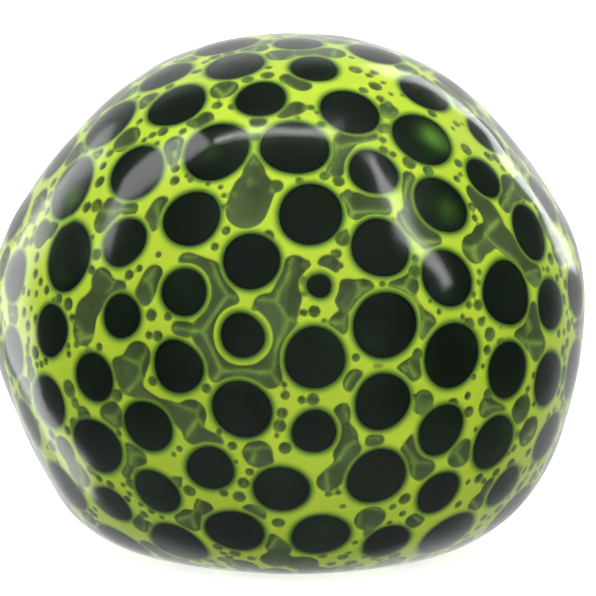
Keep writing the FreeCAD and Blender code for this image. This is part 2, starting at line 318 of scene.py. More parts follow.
def noise(tree, scale, detail=3.0, rough=0.5):
    """Noise in object coordinates, as a number; scale is in waves per metre."""
    node = tree.nodes.new("ShaderNodeTexNoise")
    node.inputs["Scale"].default_value = scale
    node.inputs["Detail"].default_value = detail
    node.inputs["Roughness"].default_value = rough
    coords = tree.nodes.new("ShaderNodeTexCoord")
    tree.links.new(coords.outputs["Object"], node.inputs["Vector"])
    return node.outputs["Fac"]


def feed(tree, pairs):
    """Link each input to its value if that is a socket, or else set it to the value."""
    for socket, value in pairs:
        if hasattr(value, "is_output"):
            tree.links.new(value, socket)
        else:
            socket.default_value = value


def mix_colour(tree, fac, a, b, blend="MIX"):
    """Mix two colours, each a socket or a colour."""
    node = tree.nodes.new("ShaderNodeMix")
    node.data_type = "RGBA"
    node.blend_type = blend
    feed(tree, ((node.inputs["Factor"], fac), (node.inputs["A"], a), (node.inputs["B"], b)))
    return node.outputs["Result"]


def math_node(tree, operation, a, b, clamp=False):
    """A math node on sockets or numbers."""
    node = tree.nodes.new("ShaderNodeMath")
    node.operation = operation
    node.use_clamp = clamp
    feed(tree, zip(node.inputs, (a, b)))
    return node.outputs[0]


def bump(tree, shader, height, strength, distance):
    """Bump from a height socket."""
    node = tree.nodes.new("ShaderNodeBump")
    node.inputs["Strength"].default_value = strength
    node.inputs["Distance"].default_value = distance
    tree.links.new(height, node.inputs["Height"])
    tree.links.new(node.outputs["Normal"], shader.inputs["Normal"])


def make_film(fade=0.2):
    """Cloudy yellow-green liquid: dark where it thins over a bead, olive with a painted reflection where
    air lies over it.

    It gives way to the wet beads under an air pocket over fade, in mm. The air has painted shade along
    its edges and painted light in the small bubbles.
    """
    mat, tree, shader = material("tinted_liquid")
    body = ramp(tree, attribute(tree, "edge_mm"), [
        (0.0, srgb(24, 40, 20)), (0.17, srgb(64, 98, 32)), (0.38, srgb(122, 162, 46)),
        (0.68, srgb(178, 208, 54)), (1.0, srgb(200, 224, 60))])
    cloud = ramp(tree, noise(tree, 150.0, 4.0, 0.6), [(0.3, grey(0)), (0.75, grey(1))])
    body = mix_colour(tree, cloud, body, mix_colour(tree, 0.28, body, srgb(140, 176, 48)))
    # The air pockets' olive is the wet beads' colour with a painted grey reflection of the air gap mixed
    # in.
    wet = ramp(tree, attribute(tree, "ridge_and_painted_light"), [
        (0.0, srgb(90, 106, 66)), (0.45, srgb(108, 134, 70)), (1.0, srgb(152, 188, 84))])
    murk = ramp(tree, noise(tree, 420.0, 3.0, 0.55), [(0.35, grey(0)), (0.7, grey(1))])
    wet = mix_colour(tree, murk, wet, mix_colour(tree, 0.35, wet, srgb(96, 118, 78)))
    air = attribute(tree, "air_mm")
    # Painted shade: the colour in the air is darkened along each pocket's and bubble's edge.
    rim = ramp(tree, air, [(0.0, srgb(176, 176, 176)), (0.15, srgb(255, 255, 255))])
    wet = mix_colour(tree, 1.0, wet, rim, "MULTIPLY")
    inside = math_node(tree, "MULTIPLY", math_node(tree, "ADD", air, fade / 2), 1 / fade, clamp=True)
    colour = mix_colour(tree, inside, body, wet)
    tree.links.new(colour, shader.inputs["Base Color"])
    shader.inputs["Roughness"].default_value = 0.55
    shader.inputs["Specular IOR Level"].default_value = 0.12
    bump(tree, shader, noise(tree, 900.0, 2.0), 0.15, 0.0002)
    return mat


def make_gel():
    """Wet dark green gel, with a painted glow where light comes up through it."""
    mat, tree, shader = material("bead_gel")
    colour = ramp(tree, noise(tree, 140.0), [
        (0.4, srgb(13, 21, 15)), (0.6, srgb(17, 30, 18)), (0.8, srgb(28, 48, 26))])
    patchy = ramp(tree, noise(tree, 330.0), [(0.3, grey(0.6)), (0.7, grey(1))])
    # Painted light: the glow attribute mixes in bright green where light comes up through a bead.
    glow = math_node(tree, "MULTIPLY", attribute(tree, "glow"), patchy)
    colour = mix_colour(tree, glow, colour, srgb(96, 150, 56))
    tree.links.new(colour, shader.inputs["Base Color"])
    shader.inputs["Roughness"].default_value = 0.4
    shader.inputs["Specular IOR Level"].default_value = 0.02
    bump(tree, shader, noise(tree, 700.0, 3.0), 0.1, 0.0002)
    return mat


def make_skin():
    """Clear glossy rubber; its roughness varies a little with handling."""
    mat, tree, shader = material("clear_skin")
    shader.inputs["Base Color"].default_value = (0.97, 0.99, 0.95, 1.0)
    shader.inputs["Transmission Weight"].default_value = 1.0
    shader.inputs["IOR"].default_value = 1.45
    rough = ramp(tree, noise(tree, 60.0, 4.0, 0.6), [(0.38, grey(0.10)), (0.7, grey(0.20))])
    tree.links.new(rough, shader.inputs["Roughness"])
    return mat


def make_wet_face():
    """The skin's inner face: wet, so light passes it straight, with no gloss."""
    mat = bpy.data.materials.new("wet_inner_face")
    mat.use_nodes = True
    tree = mat.node_tree
    tree.nodes.clear()
    out = tree.nodes.new("ShaderNodeOutputMaterial")
    clear = tree.nodes.new("ShaderNodeBsdfTransparent")
    tree.links.new(clear.outputs[0], out.inputs["Surface"])
    return mat


def make_rubber(name, tint, rough):
    """Cloudy soft rubber or cured adhesive for the port."""
    mat, tree, shader = material(name)
    dull = tuple(0.82 * c for c in tint[:3]) + (1.0,)
    colour = ramp(tree, noise(tree, 500.0, 4.0, 0.6), [(0.3, tint), (0.8, dull)])
    tree.links.new(colour, shader.inputs["Base Color"])
    shader.inputs["Roughness"].default_value = rough
    shader.inputs["Subsurface Weight"].default_value = 0.3
    shader.inputs["Subsurface Radius"].default_value = (0.002, 0.002, 0.0015)
    bump(tree, shader, noise(tree, 1400.0, 3.0), 0.2, 0.0001)
    return mat


FILM_LOOK = make_film()
GEL_LOOK = make_gel()
SKIN_LOOK = make_skin()
WET_LOOK = make_wet_face()
PLUG_LOOK = make_rubber("plug_rubber", srgb(214, 220, 200), 0.35)
SEAL_LOOK = make_rubber("seal_adhesive", srgb(206, 198, 160), 0.25)


# ---- beads

COARSE, FINE = 3, 4                   # levels of the balls for hidden beads and for beads on the skin
UNIT = {level: unit_ball(level) for level in (COARSE, FINE)}
WAVES, WAVE = 4, 0.0035               # how uneven a bead is: number of waves, share of its radius
PRESSES = 4                           # rounds that press a bead's vertices onto the film
LEAST_LEAN = 0.15                     # keeps a vertex from sliding far where it grazes the film


def bead_shape(centre, radius, level, seed):
    """A gel bead: a slightly uneven ball pressed flat where it meets the skin."""
    ways, faces = UNIT[level]
    dice = np.random.default_rng(seed)
    uneven = np.zeros(len(ways))
    for _ in range(WAVES):
        axis = dice.normal(size=3)
        axis /= np.linalg.norm(axis)
        uneven += (1 - np.cos(2.0 * np.arccos(np.clip(ways @ axis, -1, 1)))) * WAVE
    reach = radius * (1 - uneven)
    for _ in range(PRESSES):
        depth, normal = outline_depth(centre + ways * reach[:, None], WALL + FILM)
        lean = np.maximum((ways * normal).sum(1), LEAST_LEAN)
        reach = np.where(depth < 0, reach + depth / lean, reach)
    return centre + ways * reach[:, None], faces


# Where light comes up through a bead: azimuth, elevation, strength. These five are read off the photo;
# the rest are random, on the sides that it doesn't show.
GLOW_WIDTH = 0.042                    # as a share of the ball's radius
LIT = [(47, 48, 0.75), (49, 46, 0.4), (-62, 31, 0.4), (40, 31, 0.32), (-24, 46, 0.1)]
lit_dice = random.Random(4)
for _ in range(9):
    LIT.append((lit_dice.uniform(80, 280), lit_dice.uniform(-30, 70), lit_dice.uniform(0.2, 0.8)))


def glow_at(points):
    """Brightness of the painted glow of light inside the beads."""
    ways = unit_way(points)
    total = np.zeros(len(points))
    for azimuth, elevation, strength in LIT:
        off = np.linalg.norm(ways - way_to(azimuth, elevation), axis=1)
        total += strength * np.exp(-(off / GLOW_WIDTH) ** 2)
    return total


bodies = frame["record"]["behaviour"]["bodies"]
layer_of = {node: body for body, nodes in bodies.items() for node in nodes}
for node_name in sorted({b[0] for b in beads}):
    points, faces, start = [], [], 0
    for index, (name, centre, radius) in enumerate(beads):
        if name != node_name:
            continue
        p, f = bead_shape(centre, radius, FINE if on_skin[index] else COARSE, index)
        points.append(p)
        faces.append(f + start)
        start += len(p)
    points = np.concatenate(points)
    mesh = mesh_from(node_name + "_gel", points, np.concatenate(faces))
    set_attribute(mesh, "glow", glow_at(points))
    mesh.materials.append(GEL_LOOK)
    body = layer_of[node_name]
    piece = add_object(node_name + "_gel", mesh, body)
    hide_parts(node_name)
    squash_with(piece)


# ---- trapped air

# Air pockets on the front, read off the photo: radius in degrees, then azimuth and elevation of
# each bend.
POCKETS = [
    (2.3, -46, 32, -46, 27), (2.2, -35, 28, -31, 32), (1.6, -36, 46, -37, 43), (2.0, 7, 67, 2, 69),
    (2.0, -31, 64), (1.9, -11.5, 56), (1.0, -5, 58, 0, 59),
    (2.0, 25, 52, 18, 51, 15, 46, 13.5, 42.5), (1.3, -9, 45.5, -9, 42), (4.0, -9, 37, -10.5, 32),
    (3.0, 15, 33.5, 21, 33), (1.6, 33, 38, 32, 33), (1.8, 52, 34, 54, 27), (1.2, -57, 23, -54, 23),
    (1.8, -68, 23), (1.8, -43, 17, -41, 13, -38, 13), (1.8, -41, 13, -45, 9, -48, 5),
    (1.8, -29, 17.5, -33, 13), (1.9, -38, -2, -33, -1, -31, 1.5), (1.9, -33, -1, -34, -5),
    (2.0, -23, 20, -17, 19.5, -17, 17), (1.8, -15.5, 15, -12.5, 12.5),
    (2.0, -15.5, 15, -17, 10, -18, 6, -17, 2, -14, -1.5, -9, -2.5, -5, -2),
    (1.9, -4, 0, -3, 5, -3, 11, -1, 16, -0.5, 21), (1.5, -3, 11, -6, 12), (1.6, -3, 7, 1, 7, 4, 7),
    (2.2, 7.5, 20), (2.6, 11, 16, 13, 14, 16, 14.5), (1.9, 10, 9.5, 7.5, 6.5), (2.4, 14, -3),
    (2.3, 27, 0, 21, -3.5), (2.2, 29.5, 30, 33, 24), (1.6, 22, 14.5, 26, 16.5), (1.8, 42.5, 21.5),
    (1.8, 48, 23), (1.3, 52, 24, 55, 20, 59, 16, 62, 14), (1.6, 24.5, 12, 27, 8.5),
    (2.4, 27, 8.5, 30, 6), (2.0, 52, 1, 57, 3, 60, 7), (2.0, 57, 3, 60, -1),
    (1.6, -32, -7.5, -27, -10, -22.5, -11, -19.5, -9), (1.6, -20, -15, -16.5, -17),
    (1.7, 3.5, -10.5, 8, -10.5, 11, -8.5), (1.7, 8, -10.5, 10, -13.5, 12, -17.5, 13.5, -18.5),
    (2.3, -6.5, -18.5), (1.8, -4.5, -21.5), (1.7, 12, -22, 8, -24), (2.0, -20, -32.5),
    (2.6, -10, -33.5), (1.8, -8, -39, -1, -42), (1.2, 28.5, -14.5, 26.5, -17),
    (2.2, 23, -20, 27, -21, 31, -23.5), (2.0, 45, -10.5, 48, -14), (1.8, 52.5, -18), (1.5, 48, -22),
    (1.8, 53, -29), (2.0, 31, -36.5), (2.2, -56, -21), (1.6, 54, -13),
]
# Small round bubbles on the front, read the same way: azimuth, elevation, radius, all in degrees.
BUBBLES = [
    (-55, 51, .8), (-43.5, 50, 1.2), (-36, 53, 1.0), (-58, 42, 1.0), (-62, 40, .8), (-30.5, 58, 1.1),
    (-21.5, 58.5, 1.0), (9, 58.5, .8), (11, 57, .5), (30, 52, 1.2), (-3, 38, 1.4), (2.5, 39, .8),
    (8.5, 40, 1.0), (12, 39, 1.2), (15, 37, .8), (12.5, 35.5, 1.0), (-18, 33, .8), (-17.5, 35.5, .6),
    (-20, 35, .5), (-15.5, 36.3, .4), (-12, 40.5, .8), (34, 51, 1.3), (35, 43, 1.5), (39, 40, 1.2),
    (51, 40, 1.0), (-30.5, 10, 1.2), (-30, 6, .8), (-27.5, 5.5, 1.1), (-48, 1.5, .7),
    (-44.5, 0, 1.2), (-45.5, -3, 1.2), (-50.5, -7, 1.8), (-62, 5, 1.0), (-5.5, 27, 1.1),
    (-4, 24.5, .5), (3.7, 21, .9), (3.7, 18, .9), (12, 26.7, 1.5), (11, 23.8, .9), (11.5, 21.5, .6),
    (8, 23.5, .6), (9, 24.7, .4), (-17, -4, 1.0), (6.5, 9.5, .4), (-8, 12, .5), (28, 19, 1.3),
    (43.5, 15, .6), (42.5, 11, 1.1), (43.5, 8.5, .5), (41.5, 7, .9), (38.5, 6.8, 1.2),
    (34.5, 6.5, .5), (27, 2.5, 1.1), (44, 4.5, 1.4), (47.5, 1.5, 1.4), (62, 13, 1.5),
    (44.5, -7, 1.2), (-49.5, -10.5, 1.1), (-47.5, -13, 1.8), (-50.5, -15.5, 1.6), (-35.5, -13, 1.2),
    (-39, -15.5, .7), (-37, -18, 1.0), (-34, -10.5, .5), (-34.5, -25, 1.6), (-38, -27, 1.2),
    (-27, -25.5, 1.3), (-23.5, -27, 1.3), (-36, -22.5, .6), (-30.5, -25, .6), (-38, -20, .4),
    (-38, -22, .4), (-22.5, -29.5, .7), (-24.5, -24, .5), (-20.5, -20.5, 1.6), (-22, -13.5, .6),
    (-2.5, -8.5, 1.1), (0, -23, .6), (8.5, -27, .7), (11.5, -26.5, .6), (12, -30.5, .6),
    (-3.5, -13, .5), (-10.5, -17.5, .5), (12, -38, 1.2), (21, -38.5, 1.2), (29, -9.5, 1.6),
    (34.5, -9.5, 1.5), (26.5, -7, .8), (24.5, -6, .6), (57, -25, 1.2), (55, -20.5, .8),
    (58.5, -16.5, 1.3),
]
DEGREE = 0.6 * MM                     # one degree of the ball's face
CHANNEL = 1.25 * MM                   # least width of liquid between two flats
SOFT = 0.28 * MM                      # rounding of the corners of air pockets
CHUNK = 20000                         # points worked on at a time
LOBES_TWO, LOBES_THREE = 0.022, 0.014  # spread of a flat's two-sided and three-sided lobes
RING = (0.44 * MM, 0.66 * MM)         # least and most width of the liquid kept round a flat
WIDE_RING = 0.95 * MM
WIDE_RINGED = ((-9, 5), (4, 13))      # the two flats with a wide ring: azimuth, elevation


def smooth_min(a, b, k):
    """Minimum of two fields with a rounded crease of width k."""
    h = np.clip(0.5 + 0.5 * (b - a) / k, 0, 1)
    return b * (1 - h) + a * h - k * h * (1 - h)


flat_beads = np.where(on_skin)[0]
flat_radius = np.sqrt(radii[flat_beads] ** 2 - depths[flat_beads] ** 2)
flat_middle = centres[flat_beads] + normals[flat_beads] * (depths[flat_beads] + FILM)[:, None]
flat_way = unit_way(flat_middle)
ring_width = np.random.default_rng(8).uniform(*RING, len(flat_way))
flat_u = unit(np.cross(flat_way, [0.31, 0.17, 0.93]))  # two directions across each flat
flat_v = np.cross(flat_way, flat_u)
flat_at_u = (flat_u * flat_middle).sum(1)
flat_at_v = (flat_v * flat_middle).sum(1)
lobe_two = np.random.default_rng(15).normal(size=(2, len(flat_way))) * LOBES_TWO
lobe_three = np.random.default_rng(16).normal(size=(2, len(flat_way))) * LOBES_THREE
for azimuth, elevation in WIDE_RINGED:
    ring_width[np.linalg.norm(flat_way - way_to(azimuth, elevation), axis=1).argmin()] = WIDE_RING


def flats_field(points):
    """Distance past the nearest flat's edge, and past the liquid kept round it.

    Crowded flats press each other straight.
    """
    past = np.empty(len(points))
    free = np.empty(len(points))
    for start in range(0, len(points), CHUNK):
        p = points[start:start + CHUNK]
        square = (p ** 2).sum(1)[:, None] + (flat_middle ** 2).sum(1)[None] - 2 * p @ flat_middle.T
        u = p @ flat_u.T - flat_at_u
        v = p @ flat_v.T - flat_at_v
        size = np.maximum(u ** 2 + v ** 2, 1e-12)
        two = lobe_two[0] * (u ** 2 - v ** 2) + lobe_two[1] * 2 * u * v
        three = lobe_three[0] * (u ** 2 - 3 * v ** 2) * u + lobe_three[1] * (3 * u ** 2 - v ** 2) * v
        lobes = two / size + three / size ** 1.5
        away = np.sqrt(np.maximum(square, 0)) - flat_radius * (1 + lobes)
        rows = np.arange(len(p))
        which = away.argmin(axis=1)
        first = away[rows, which]
        kept = (away - ring_width).min(axis=1)
        away[rows, which] = 1.0
        crowd = np.maximum(CHANNEL - (first + away.min(axis=1)), 0) * 0.5
        past[start:start + CHUNK] = first + crowd
        free[start:start + CHUNK] = kept + crowd
    return past, free


def past_flats(points):
    """Distance past the nearest flat's edge alone."""
    return flats_field(points)[0]


def slope_of(field, points, reach):
    """Change of a field along each axis, from reach before the points to reach past them."""
    slope = np.zeros_like(points)
    for axis in range(3):
        step = np.zeros(3)
        step[axis] = reach
        slope[:, axis] = field(points + step) - field(points - step)
    return slope


def chain(points, start, end, radius):
    """Depth inside a capsule drawn on the skin's inner face."""
    a, b = on_outline(np.array([start, end]), WALL)[0]
    line = b - a
    square = max(line @ line, 1e-12)
    share = np.clip(((points - a) @ line) / square, 0, 1)
    near = a + share[:, None] * line
    return radius - np.linalg.norm(points - near, axis=1)


def uphill(points, steps, stride=0.15 * MM, reach=0.05 * MM, shorten=0.93):
    """Slide points of the skin's inner face into the middle of the gap between flats that they are in.

    Each stride is shorter than the last.
    """
    for _ in range(steps):
        slope = slope_of(past_flats, points, reach)
        slope /= np.linalg.norm(slope, axis=1)[:, None] + 1e-9
        moved = on_outline(unit_way(points + slope * stride), WALL)[0]
        better = past_flats(moved) > past_flats(points)
        points = np.where(better[:, None], moved, points)
        stride *= shorten
    return points


def fits(way, radius, others, spare):
    """Whether a round bubble keeps clear of the others, rows of start, end and radius."""
    from_start = np.linalg.norm(others[:, :3] - way, axis=1)
    from_end = np.linalg.norm(others[:, 3:6] - way, axis=1)
    return bool((np.minimum(from_start, from_end) * BALL - radius - others[:, 6] > spare).all())


def row(start, end, radius, large):
    """A capsule of air as a table row."""
    return np.array([*start, *end, radius, float(large)])


FRONT_SIDE, FRONT_LOW, FRONT_HIGH = 70, -44, 72  # bounds of the part whose air was read, in degrees


def on_front(way):
    """Whether a direction is in the part whose air was read off the photo."""
    azimuth = math.degrees(math.atan2(way[0], -way[1]))
    return abs(azimuth) < FRONT_SIDE and FRONT_LOW < math.degrees(math.asin(way[2])) < FRONT_HIGH


READ_WIDEN = 1.05                     # read pockets are drawn this much wider
READ_SPARE, READ_MOST = 0.45 * MM, 1.8 * MM  # a pocket's radius past its gap's room, and the most
RANDOM_SPARE, RANDOM_MOST = 0.55 * MM, 1.9 * MM  # the same for a random pocket
LEAST_READ = 0.3 * MM                 # radius of the smallest bubble drawn where one was read
LEAST_ROOM = 0.62 * MM                # a gap narrower than this each way holds no random air
APART = 1.9 * MM                      # least distance between two random spots
LEFT_EMPTY = 0.3                      # share of the random spots on the front that stay liquid
POCKET_SHARE = {True: 0.22, False: 0.6}  # share that become pockets, on the front and elsewhere
LEAST_FREE = 0.3 * MM                 # room past the flats' rings that a random pocket needs
OVERLAP = 0.35                        # share of its radius by which it may run into another
BUBBLE_TRIES = {True: 7, False: 14}   # bubbles tried round the other spots, likewise
SCATTER = 0.05                        # their spread round the spot, as a share of the ball's radius
BUBBLE_SIZE = (0.32 * MM, 0.85 * MM)
LEAST_BUBBLE = 0.26 * MM
BUBBLE_RIM = 0.3 * MM                 # liquid between a bubble and the nearest flat
BUBBLE_FIT = 0.85                     # share of a bubble's radius that has to fit
BUBBLE_GAP, POCKET_GAP = 0.14 * MM, 0.12 * MM  # liquid between bubbles, and from bubble to pocket


def read_air():
    """Capsules for the pockets and bubbles read off the front, each slid to the middle of its gap."""
    pockets, small = np.empty((0, 8)), np.empty((0, 8))
    for radius, *bends in POCKETS:
        ways = np.array([way_to(az, el) for az, el in zip(bends[::2], bends[1::2])])
        spots = uphill(on_outline(ways, WALL)[0], 6)
        ways = unit_way(spots)
        filling = np.minimum(flats_field(spots)[1] + READ_SPARE, READ_MOST)
        sizes = np.maximum(radius * DEGREE * READ_WIDEN, filling)
        for k in range(max(1, len(ways) - 1)):
            end = ways[min(k + 1, len(ways) - 1)]
            pockets = np.vstack([pockets, row(ways[k], end, sizes[k:k + 2].mean(), True)])
    for az, el, radius in BUBBLES:
        spot = unit_way(uphill(on_outline(way_to(az, el)[None], WALL)[0], 3))[0]
        small = np.vstack([small, row(spot, spot, max(radius * DEGREE, LEAST_READ), False)])
    return pockets, small


def bubble_list():
    """Capsules of air: the ones read off the front, and random ones in the other gaps between flats."""
    pockets, small = read_air()
    dice = np.random.default_rng(23)
    spots = uphill(on_outline(unit_ball(5)[0], WALL)[0], 12)
    room, free = flats_field(spots)
    chosen = np.empty((0, 3))
    for k in np.argsort(-room):
        if room[k] < LEAST_ROOM:
            break
        if (((chosen - spots[k]) ** 2).sum(1) < APART ** 2).any():
            continue
        chosen = np.vstack([chosen, spots[k]])
        way = unit_way(spots[k])
        front = on_front(way)
        if front and dice.random() < LEFT_EMPTY:
            continue
        if dice.random() < POCKET_SHARE[front] and free[k] > LEAST_FREE:
            size = min(free[k] + RANDOM_SPARE, RANDOM_MOST)
            if fits(way, size, pockets, -OVERLAP * size):
                pockets = np.vstack([pockets, row(way, way, size, True)])
            continue
        tries = unit(way + dice.normal(size=(BUBBLE_TRIES[front], 3)) * SCATTER)
        tries = unit_way(uphill(on_outline(tries, WALL)[0], 2))
        past = past_flats(on_outline(tries, WALL)[0])
        for spot, wide in zip(tries, past):
            size = min(dice.uniform(*BUBBLE_SIZE), (wide - BUBBLE_RIM) / BUBBLE_FIT)
            clear = fits(spot, size, small, BUBBLE_GAP) and fits(spot, size, pockets, POCKET_GAP)
            if size > LEAST_BUBBLE and clear:
                small = np.vstack([small, row(spot, spot, size, False)])
    return [(r[:3], r[3:6], r[6], r[7] > 0) for r in np.vstack([pockets, small])]


ROUND_IT = 1.5 * MM                   # how far round a capsule its field is worked out
BUBBLE_EDGE = 0.28 * MM               # least liquid drawn between a bubble and a flat
BUBBLE_SOFT = 0.1 * MM                # rounding of its corners
AIR = bubble_list()
print("pockets and bubbles", len(AIR))


def air_field(points):
    """Distance into the air pockets and into the small bubbles; positive inside them."""
    past_edge, free = flats_field(points)
    pockets = np.full(len(points), -1.0)
    tiny = np.full(len(points), -1.0)
    for start, end, radius, large in AIR:
        middle = on_outline(((start + end) / 2)[None], WALL)[0][0]
        span = np.linalg.norm(start - end) * BALL / 2 + radius + ROUND_IT
        close = np.where(((points - middle) ** 2).sum(1) < span ** 2)[0]
        if len(close) == 0:
            continue
        inside = chain(points[close], start, end, radius)
        if large:
            pockets[close] = -smooth_min(-pockets[close], -inside, SOFT)
        else:
            tiny[close] = np.maximum(tiny[close], inside)
    return smooth_min(pockets, free, SOFT), smooth_min(tiny, past_edge - BUBBLE_EDGE, BUBBLE_SOFT)


def sides(faces):
    """The three edges of each triangle."""
    return np.concatenate([faces[:, [0, 1]], faces[:, [1, 2]], faces[:, [2, 0]]])


def edges_of(faces):
    """Every edge of a triangle mesh, once."""
    return np.unique(np.sort(sides(faces), axis=1), axis=0)


def relax(values, edges, times, share=0.6):
    """Smooth values over a mesh, each time by a share of the way to the neighbours' mean."""
    count = np.bincount(edges.ravel(), minlength=len(values))
    for _ in range(times):
        total = np.bincount(edges[:, 0], values[edges[:, 1]], len(values))
        total += np.bincount(edges[:, 1], values[edges[:, 0]], len(values))
        values = (1 - share) * values + share * total / np.maximum(count, 1)
    return values


def slide_to_line(points, value, edges, fixed):
    """Slide vertices along edges onto the zero line of their values, so that it runs along edges.

    The fixed vertices stay.
    """
    a, b = edges[:, 0], edges[:, 1]
    cross = (value[a] > 0) != (value[b] > 0)
    a, b = a[cross], b[cross]
    share = value[a] / (value[a] - value[b])
    near = share < 0.5
    mover, other = np.where(near, a, b), np.where(near, b, a)
    share = np.where(near, share, 1 - share)
    order = np.argsort(-share)
    order = order[~fixed[mover[order]]]
    moved = points.copy()
    m, o, t = mover[order], other[order], share[order]
    moved[m] = points[m] + (points[o] - points[m]) * t[:, None]
    value = value.copy()
    value[m] = 0.0
    moved[m] = on_outline(unit_way(moved[m]), WALL)[0]
    return moved, value


def painted_bubble_light(points):
    """1 inside a small round bubble, where painted light makes the shallow bubble lighter."""
    inside = np.zeros(len(points))
    for start, _, radius, large in AIR:
        if not large:
            middle = on_outline(start[None], WALL)[0][0]
            inside[((points - middle) ** 2).sum(1) < (radius * 1.1) ** 2] = 1.0
    return inside


def snap(points, faces, field, reach=2e-5, longest=3e-4, least=0.05):
    """Slide the vertices nearest to a field's zero line onto it, so that the line runs along edges.

    A slope counts as least or more, and no move is longer than longest.
    """
    value = field(points)
    a, b = sides(faces).T
    cross = (value[a] > 0) != (value[b] > 0)
    a, b = a[cross], b[cross]
    pick = np.unique(np.where(np.abs(value[a]) < np.abs(value[b]), a, b))
    for _ in range(3):
        p = points[pick]
        here = field(p)
        slope = slope_of(field, p, reach) / (2 * reach)
        size = (slope ** 2).sum(1)
        move = -(here / np.maximum(size, least))[:, None] * slope
        far = np.linalg.norm(move, axis=1)
        move *= np.minimum(1, longest / np.maximum(far, 1e-9))[:, None]
        points[pick] = on_outline(unit_way(p + move), WALL)[0]
    return points


REACH = 9.5 * MM                      # beads whose middles are nearer than this count
COAT = 0.08 * MM                      # wet coat on a bead
FILLET = 0.7 * MM                     # width of the liquid fillet where two beads meet
RIDGE = 0.55 * MM                     # width of the lighter ridge along it
DEEPEST = 5.0 * MM                    # the sheet sinks no further than this


def solid_depth(points, inward):
    """How far in, from the skin's inner face, the wet beads lie, and how close two beads are there."""
    depth = np.full(len(points), 0.05 * MM)
    near = [np.where(((centres - p) ** 2).sum(1) < REACH ** 2)[0] for p in points]
    table = np.full((len(points), max(len(n) for n in near)), -1)
    for k, n in enumerate(near):
        table[k, :len(n)] = n
    c = centres[table]
    r = np.where(table >= 0, radii[table], -1.0)
    for _ in range(26):
        at = points + inward * depth[:, None]
        gap = np.linalg.norm(at[:, None, :] - c, axis=2) - r - COAT
        gap.sort(axis=1)
        first, second = gap[:, 0], gap[:, 1]
        joined = smooth_min(first, second, FILLET)
        depth = np.minimum(depth + np.maximum(joined, 0) * 0.8, DEEPEST)
    return depth, np.exp(-(np.maximum(second - first, 0) / RIDGE) ** 2)


TURNS = 64                            # vertices in a ring of the small round parts


def ring_points(radius, y, count):
    """A circle about the port's axis."""
    turn = np.linspace(0, 2 * math.pi, count, endpoint=False)
    return np.column_stack([radius * np.cos(turn), np.full(count, y), CENTRE + radius * np.sin(turn)])


def stitch(start, rings, count, poles=None, closed=False):
    """Faces between successive rings of count vertices, and a fan to each of two poles if given."""
    faces = []
    for ring in range(rings if closed else rings - 1):
        a, b = start + ring * count, start + (ring + 1) % rings * count
        for k in range(count):
            n = (k + 1) % count
            faces.append((a + k, a + n, b + n, b + k))
    if poles:
        end = start + (rings - 1) * count
        faces += [(poles[0], start + (k + 1) % count, start + k) for k in range(count)]
        faces += [(poles[1], end + k, end + (k + 1) % count) for k in range(count)]
    return faces


SEAT, BORE, NECK = 3.6 * MM, 1.6 * MM, 4.2 * MM  # radii of the port in the skin
SEAT_DEPTH = 1.2 * MM                 # of the seat, under the outer face
NECK_LENGTH = 3 * MM                  # past the skin's inner face
PORT = np.array([0.0, BALL - WALL, CENTRE])
PORT_HOLE = 4.35 * MM                 # radius of the hole in the liquid sheet round the neck
DIP, DIP_WIDTH = 0.11 * MM, 0.22 * MM  # how far the sheet dips at a flat, and over what width
BOWL = 2.2 * MM                       # roundness of the air pockets' sides
# The liquid's face round the neck and across its end: radius and height along the port's axis, in mm.
TUBE = [(4.9, 32.58), (4.22, 32.7), (4.22, 30.0), (1.66, 29.97)]
ON_FLAT, ON_EDGE = 6e-6, 1e-5         # a vertex this near to a flat's edge counts as on it


def make_liquid():
    """The liquid that shows: a sheet on the skin's inner face, open at each flat, sunk in the air."""
    ways, faces = unit_ball(8)
    points = on_outline(ways, WALL)[0]
    points = snap(points, faces, past_flats)
    past = past_flats(points)
    past[np.abs(past) < ON_FLAT] = 0
    keep = (past[faces] >= 0).all(1) & (past[faces].max(1) > 0)
    off_port = np.linalg.norm(points - PORT, axis=1) > PORT_HOLE
    keep &= off_port[faces].all(1)
    faces = faces[keep]
    used, inverse = np.unique(faces, return_inverse=True)
    faces = inverse.reshape(-1, 3)
    points = points[used]
    past = past[used]
    rim = past < ON_EDGE
    edges = edges_of(faces)
    large, tiny = air_field(points)
    air = np.maximum(relax(large, edges, 3), tiny)
    points, air = slide_to_line(points, air, edges, rim)
    past = past_flats(points)
    past[rim] = 0
    normal = outline_depth(points, WALL)[1]
    sink = DIP * np.exp(-past / DIP_WIDTH)
    ridge_and_painted_light = np.zeros(len(points))
    wet = np.where(air > 0)[0]
    depth, ridge_and_painted_light[wet] = solid_depth(points[wet], -normal[wet])
    bowl = np.sqrt(air[wet] * (air[wet] + BOWL))
    sink[wet] = smooth_min(depth, bowl, 0.25 * MM).clip(0.0)
    # Painted light: the small bubbles get half of the ridge's lighter colour.
    ridge_and_painted_light = np.maximum(ridge_and_painted_light, 0.5 * painted_bubble_light(points))
    points = points - normal * sink[:, None]
    tube = np.concatenate([ring_points(radius * MM, y * MM, TURNS) for radius, y in TUBE])
    quads = np.array(stitch(len(points), len(TUBE), TURNS))
    faces = np.concatenate([faces, quads[:, [0, 1, 2]], quads[:, [0, 2, 3]]])
    points = np.concatenate([points, tube])
    past = np.concatenate([past, np.full(len(tube), 1.2 * MM)])
    air = np.concatenate([air, np.full(len(tube), -1 * MM)])
    ridge_and_painted_light = np.concatenate([ridge_and_painted_light, np.zeros(len(tube))])
    mesh = mesh_from("liquid_sheet", points, faces)
    for name, values in (("edge_mm", past / MM), ("air_mm", air / MM), ("ridge_and_painted_light", ridge_and_painted_light)):
        set_attribute(mesh, name, values)
    mesh.materials.append(FILM_LOOK)
    print("liquid faces", len(faces), "wet", len(wet))
    return mesh


